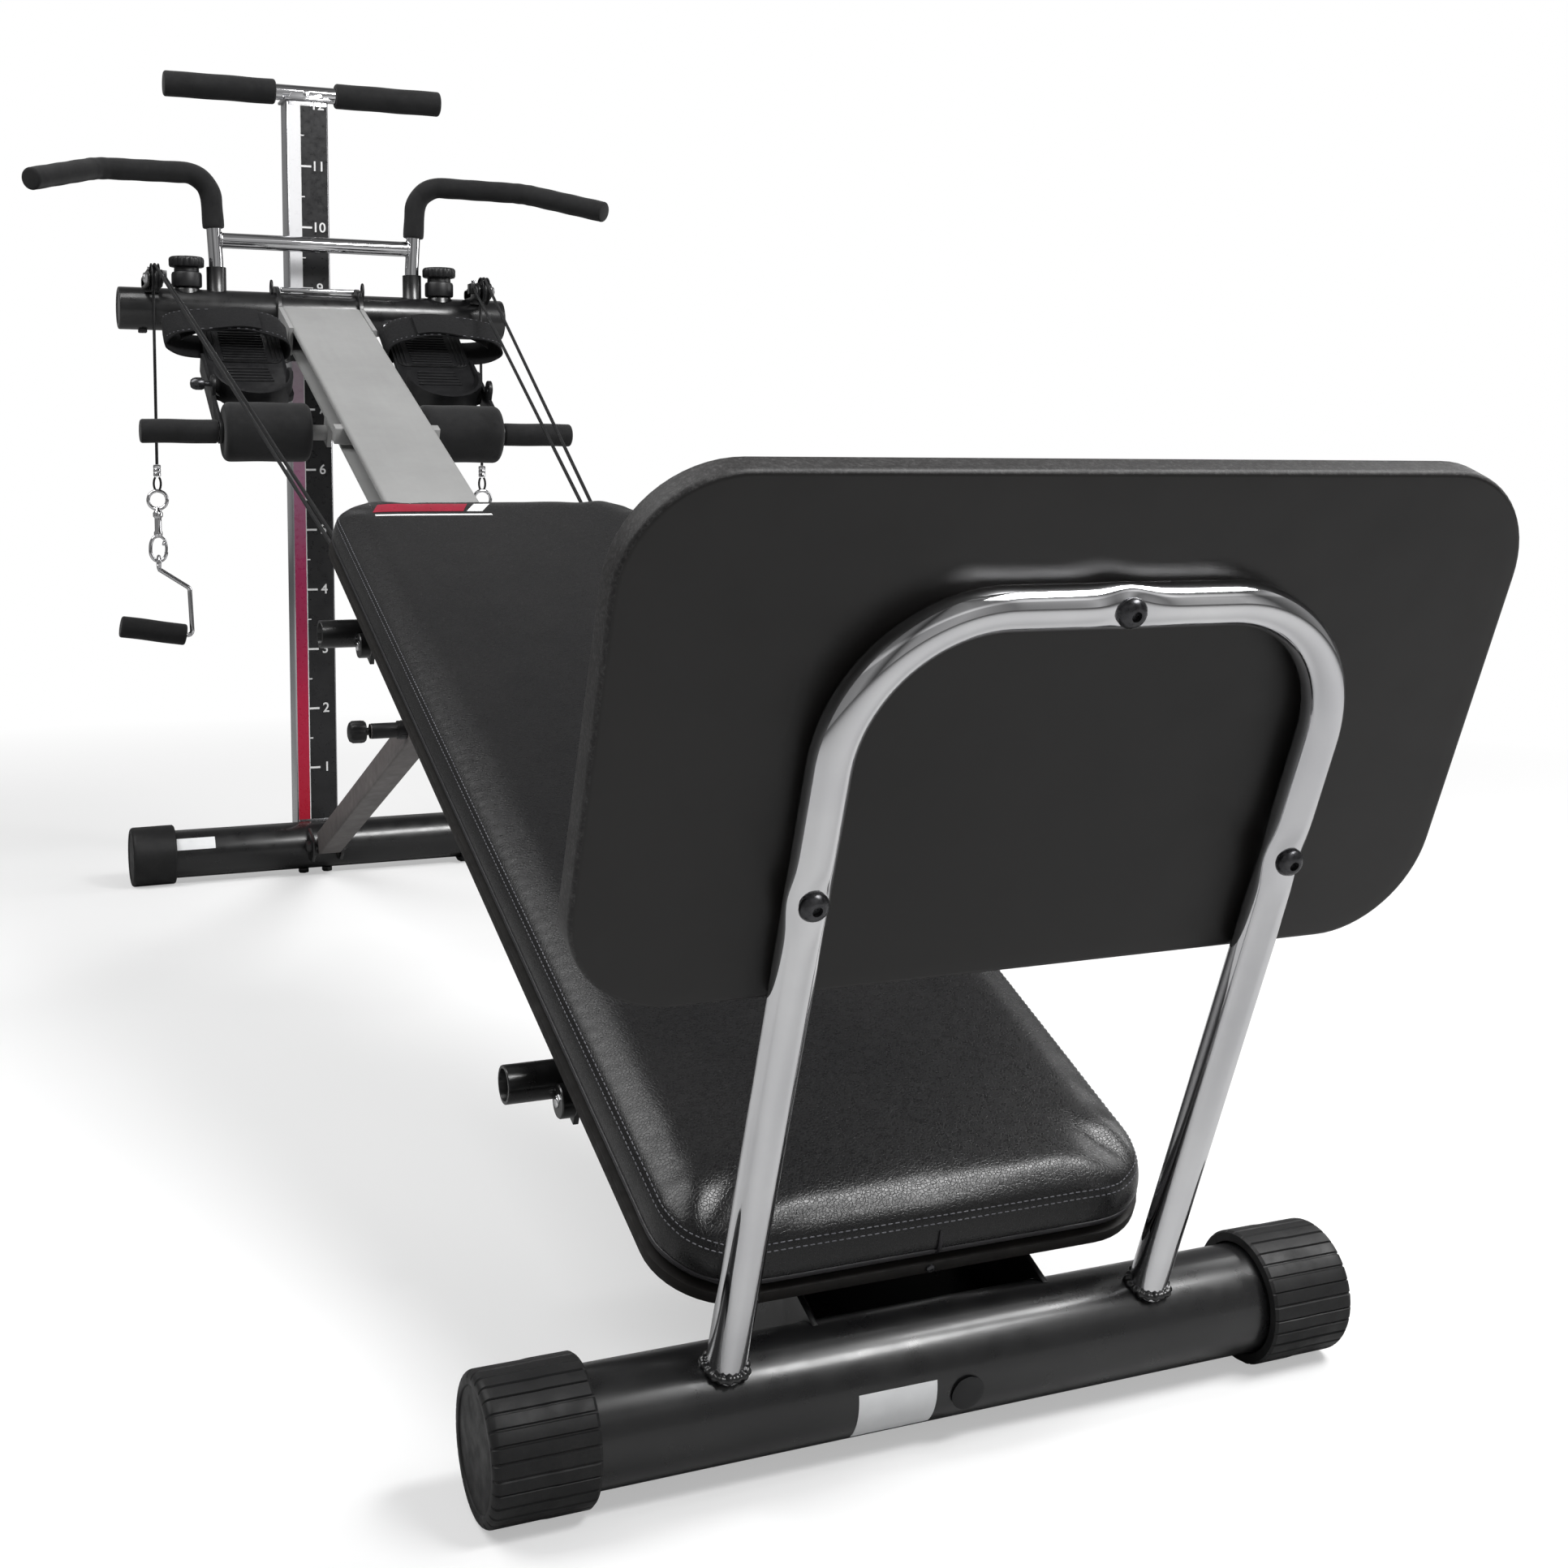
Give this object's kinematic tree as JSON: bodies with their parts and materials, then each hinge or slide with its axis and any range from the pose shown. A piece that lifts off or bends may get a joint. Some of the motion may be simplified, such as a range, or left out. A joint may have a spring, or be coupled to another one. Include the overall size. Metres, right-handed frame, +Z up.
{
  "type": "incline body-weight glideboard trainer",
  "caption": "Incline home gym: padded glideboard rolling on a tilted rail hung on a chrome column, cable handles, squat plate, foot holders, wing bar and pull-up bar.",
  "frame": {"origin": "middle of the bounding box on the floor", "axes": "+X to the right of a user who faces the column, +Y from the squat plate to the column, +Z up"},
  "size_m": [0.8948, 2.4566, 1.2865],
  "materials": {
    "black_steel": "satin black powder coat",
    "chrome": "bright chrome plate",
    "rail_grey": "light grey satin powder coat",
    "strut_grey": "taupe grey powder coat",
    "rubber": "moulded black rubber",
    "foam": "black closed-cell foam sleeve",
    "vinyl": "black grained vinyl upholstery",
    "plate_black": "black moulded plate with a speckled worn edge",
    "plastic": "black moulded plastic",
    "webbing": "black woven nylon strap",
    "plywood": "black stained plywood board",
    "cable": "black nylon coated steel cable",
    "bolt_steel": "dark oxide steel"
  },
  "bodies": {
    "tower": {"rear_stabilizer": "black_steel", "rear_cap_right": "rubber", "rear_cap_left": "rubber", "tower_column": "chrome", "pullup_bar": "chrome", "pullup_grip_right": "foam", "pullup_grip_left": "foam"},
    "carriage": {"carriage_sleeve": "black_steel", "crossbar": "black_steel", "wing_bar": "chrome", "wing_grip_right": "foam", "wing_grip_left": "foam", "pulley_bracket_right": "black_steel", "pulley_bracket_left": "black_steel", "cable_drop_right": "cable", "cable_drop_left": "cable", "snap_hook_right": "chrome", "snap_hook_left": "chrome"},
    "rail": {"rail_beam": "rail_grey", "front_bracket": "black_steel", "front_stabilizer": "black_steel", "front_cap_right": "rubber", "front_cap_left": "rubber", "squat_frame": "chrome", "squat_plate": "plate_black", "squat_bolt_left": "bolt_steel", "squat_bolt_right": "bolt_steel", "squat_bolt_top": "bolt_steel", "strut_bracket": "black_steel", "foot_bar": "rail_grey", "foot_grip_right": "foam", "foot_grip_left": "foam", "cable_run_right": "cable", "cable_run_left": "cable"},
    "glideboard": {"board_base": "plywood", "pad": "vinyl", "board_beam_lower": "black_steel", "board_beam_upper": "black_steel"},
    "strut": {"strut": "strut_grey"},
    "strut_pin": {"strut_pin": "plastic"},
    "carriage_pin": {"carriage_pin": "plastic"},
    "pedal_right": {"pedal_right": "plastic", "pedal_strap_right": "webbing"},
    "pedal_left": {"pedal_left": "plastic", "pedal_strap_left": "webbing"},
    "pedal_pin": {"pedal_pin": "bolt_steel"},
    "knob_right": {"knob_right": "plastic"},
    "pulley_right": {"pulley_wheel_right": "plastic"},
    "heel_roller_right": {"heel_roller_right": "foam"},
    "handle_right": {"handle_arm_right": "chrome", "handle_grip_right": "foam"},
    "roller_lower_right": {"roller_lower_right": "plastic"},
    "roller_upper_right": {"roller_upper_right": "plastic"},
    "knob_left": {"knob_left": "plastic"},
    "pulley_left": {"pulley_wheel_left": "plastic"},
    "heel_roller_left": {"heel_roller_left": "foam"},
    "handle_left": {"handle_arm_left": "chrome", "handle_grip_left": "foam"},
    "roller_lower_left": {"roller_lower_left": "plastic"},
    "roller_upper_left": {"roller_upper_left": "plastic"}
  },
  "joints": [
    {"name": "carriage_height", "type": "slide", "parent": "tower", "child": "carriage", "axis": [0, 0, 1], "range_m": [-0.293, 0.293]},
    {"name": "rail_pitch", "type": "hinge", "parent": "carriage", "child": "rail", "pos_m": [0, 1.07729, 0.907], "axis": [1, 0, 0], "range_deg": [-8.4, 8.4]},
    {"name": "strut_swing", "type": "hinge", "parent": "tower", "child": "strut", "pos_m": [0, 1.06129, 0.052], "axis": [1, 0, 0], "range_deg": [-10, 10]},
    {"name": "glide", "type": "slide", "parent": "rail", "child": "glideboard", "axis": [0, 0.9186, 0.3951], "range_m": [0, 0.62], "deforming": ["cable_run_right", "cable_run_left"]},
    {"name": "roller_lower_right_spin", "type": "hinge", "parent": "glideboard", "child": "roller_lower_right", "pos_m": [0.051, -0.68993, 0.14966], "axis": [1, 0, 0], "range_deg": [-2310, 5]},
    {"name": "roller_lower_left_spin", "type": "hinge", "parent": "glideboard", "child": "roller_lower_left", "pos_m": [-0.051, -0.68993, 0.14966], "axis": [1, 0, 0], "range_deg": [-2310, 5]},
    {"name": "roller_upper_right_spin", "type": "hinge", "parent": "glideboard", "child": "roller_upper_right", "pos_m": [0.051, -0.00004, 0.4464], "axis": [1, 0, 0], "range_deg": [-2310, 5]},
    {"name": "roller_upper_left_spin", "type": "hinge", "parent": "glideboard", "child": "roller_upper_left", "pos_m": [-0.051, -0.00004, 0.4464], "axis": [1, 0, 0], "range_deg": [-2310, 5]},
    {"name": "pulley_right_spin", "type": "hinge", "parent": "carriage", "child": "pulley_right", "pos_m": [0.256, 1.00929, 0.948], "axis": [1, 0, 0], "continuous": true},
    {"name": "knob_right_turn", "type": "hinge", "parent": "carriage", "child": "knob_right", "pos_m": [0.2, 1.07729, 0.96], "axis": [0, 0, 1], "continuous": true},
    {"name": "heel_roller_right_spin", "type": "hinge", "parent": "rail", "child": "heel_roller_right", "pos_m": [0.14, 0.73677, 0.70998], "axis": [1, 0, 0], "continuous": true},
    {"name": "pedal_right_tilt", "type": "hinge", "parent": "rail", "child": "pedal_right", "pos_m": [0.145, 0.73677, 0.70998], "axis": [1, 0, 0], "range_deg": [-45, 0]},
    {"name": "handle_right_swing", "type": "hinge", "parent": "carriage", "child": "handle_right", "pos_m": [0.256, 1.02929, 0.5186], "axis": [1, 0, 0], "range_deg": [-60, 60]},
    {"name": "pulley_left_spin", "type": "hinge", "parent": "carriage", "child": "pulley_left", "pos_m": [-0.256, 1.00929, 0.948], "axis": [1, 0, 0], "continuous": true},
    {"name": "knob_left_turn", "type": "hinge", "parent": "carriage", "child": "knob_left", "pos_m": [-0.2, 1.07729, 0.96], "axis": [0, 0, 1], "continuous": true},
    {"name": "heel_roller_left_spin", "type": "hinge", "parent": "rail", "child": "heel_roller_left", "pos_m": [-0.14, 0.73677, 0.70998], "axis": [1, 0, 0], "continuous": true},
    {"name": "pedal_left_tilt", "type": "hinge", "parent": "rail", "child": "pedal_left", "pos_m": [-0.145, 0.73677, 0.70998], "axis": [1, 0, 0], "range_deg": [-45, 0]},
    {"name": "handle_left_swing", "type": "hinge", "parent": "carriage", "child": "handle_left", "pos_m": [-0.256, 1.02929, 0.5186], "axis": [1, 0, 0], "range_deg": [-60, 60]},
    {"name": "carriage_pin_pull", "type": "slide", "parent": "carriage", "child": "carriage_pin", "axis": [0, 1, 0], "range_m": [-0.0063, 0.008]},
    {"name": "strut_pin_pull", "type": "slide", "parent": "strut", "child": "strut_pin", "axis": [-1, 0, 0], "range_m": [0, 0.014], "stiffness_N_per_m": 900},
    {"name": "pedal_pin_pull", "type": "slide", "parent": "pedal_left", "child": "pedal_pin", "axis": [-1, 0, 0], "range_m": [0, 0.012], "stiffness_N_per_m": 900}
  ],
  "couplings": [
    {"joint": "rail_pitch", "follows": "carriage_height", "rad_per_m": 0.48},
    {"joint": "strut_swing", "follows": "carriage_height", "rad_per_m": -0.572},
    {"joint": "roller_lower_right_spin", "follows": "glide", "rad_per_m": -64.516},
    {"joint": "roller_lower_left_spin", "follows": "glide", "rad_per_m": -64.516},
    {"joint": "roller_upper_right_spin", "follows": "glide", "rad_per_m": -64.516},
    {"joint": "roller_upper_left_spin", "follows": "glide", "rad_per_m": -64.516}
  ]
}
